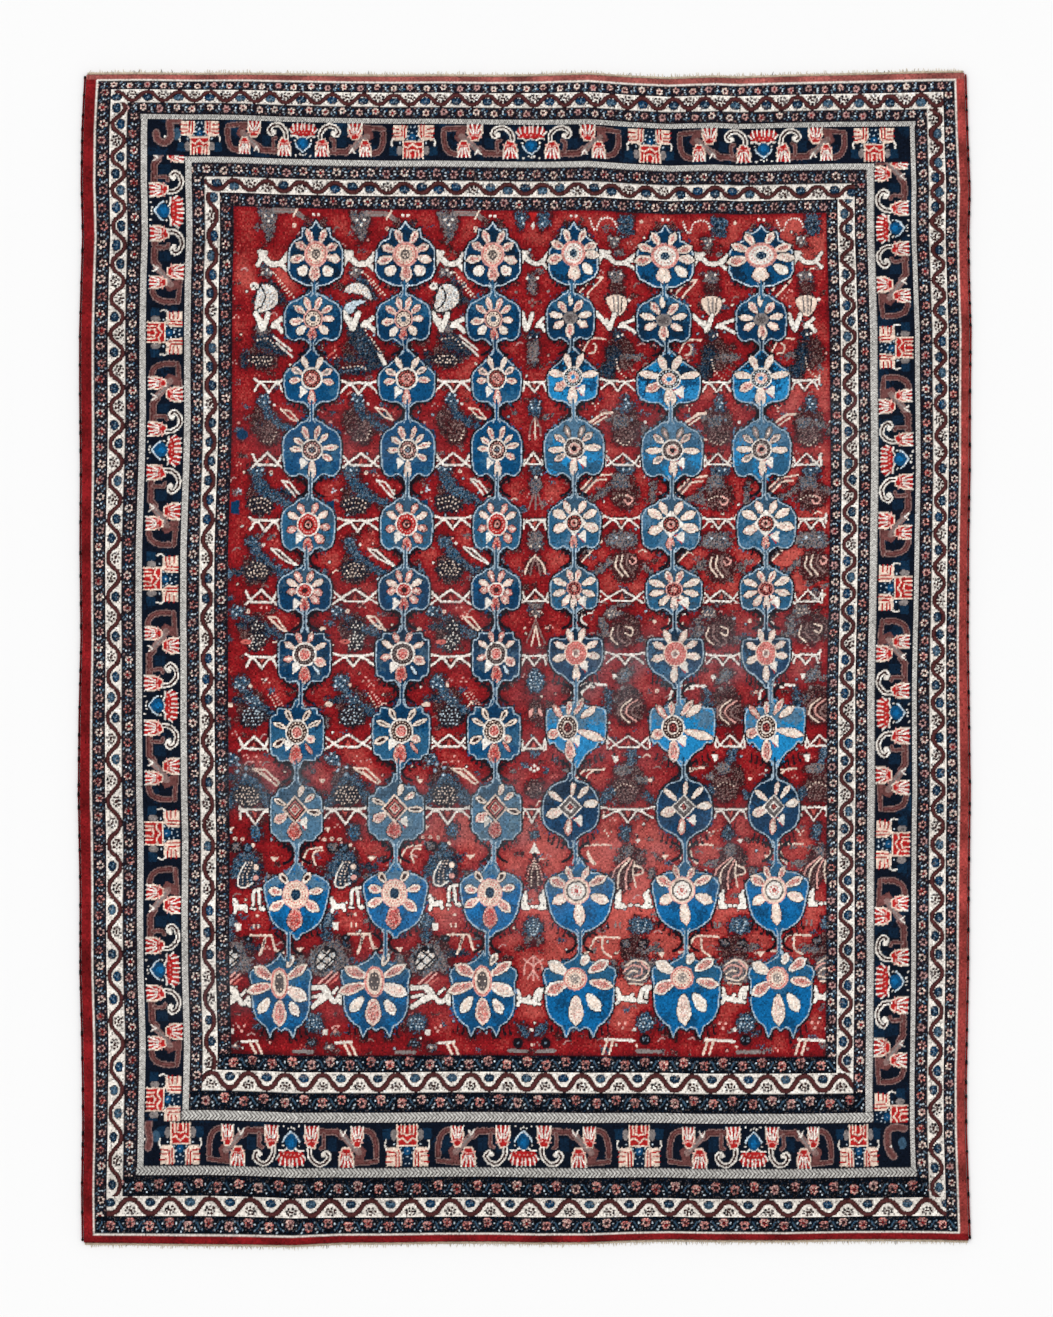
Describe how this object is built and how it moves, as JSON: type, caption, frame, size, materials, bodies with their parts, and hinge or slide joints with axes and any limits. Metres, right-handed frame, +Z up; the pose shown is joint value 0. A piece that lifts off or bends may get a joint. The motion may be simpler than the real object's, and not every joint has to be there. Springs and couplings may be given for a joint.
{
  "type": "persian rug",
  "caption": "Flat hand-knotted wool rug with a medallion field, nested borders, overcast side cords and short cream end fringes.",
  "frame": {"origin": "middle of the rug's underside, on the floor, centred on its whole outline", "axes": "+Z up out of the pile, +Y along the warps towards the picture's top end, +X across the rug to the right"},
  "size_m": [1.5478, 2.0488, 0.008],
  "materials": {
    "pile": "dense short wool pile in crimson, navy, blue and ivory, matt with a soft sheen",
    "selvedge": "dark red wool overcasting with black ties here and there, matt and slightly hairy",
    "fringe": "undyed cream warp ends, matt"
  },
  "bodies": {
    "root": {"rug_sheet": "pile", "selvedge_left": "selvedge", "selvedge_right": "selvedge", "fringe_top": "fringe", "fringe_bottom": "fringe"}
  },
  "joints": []
}
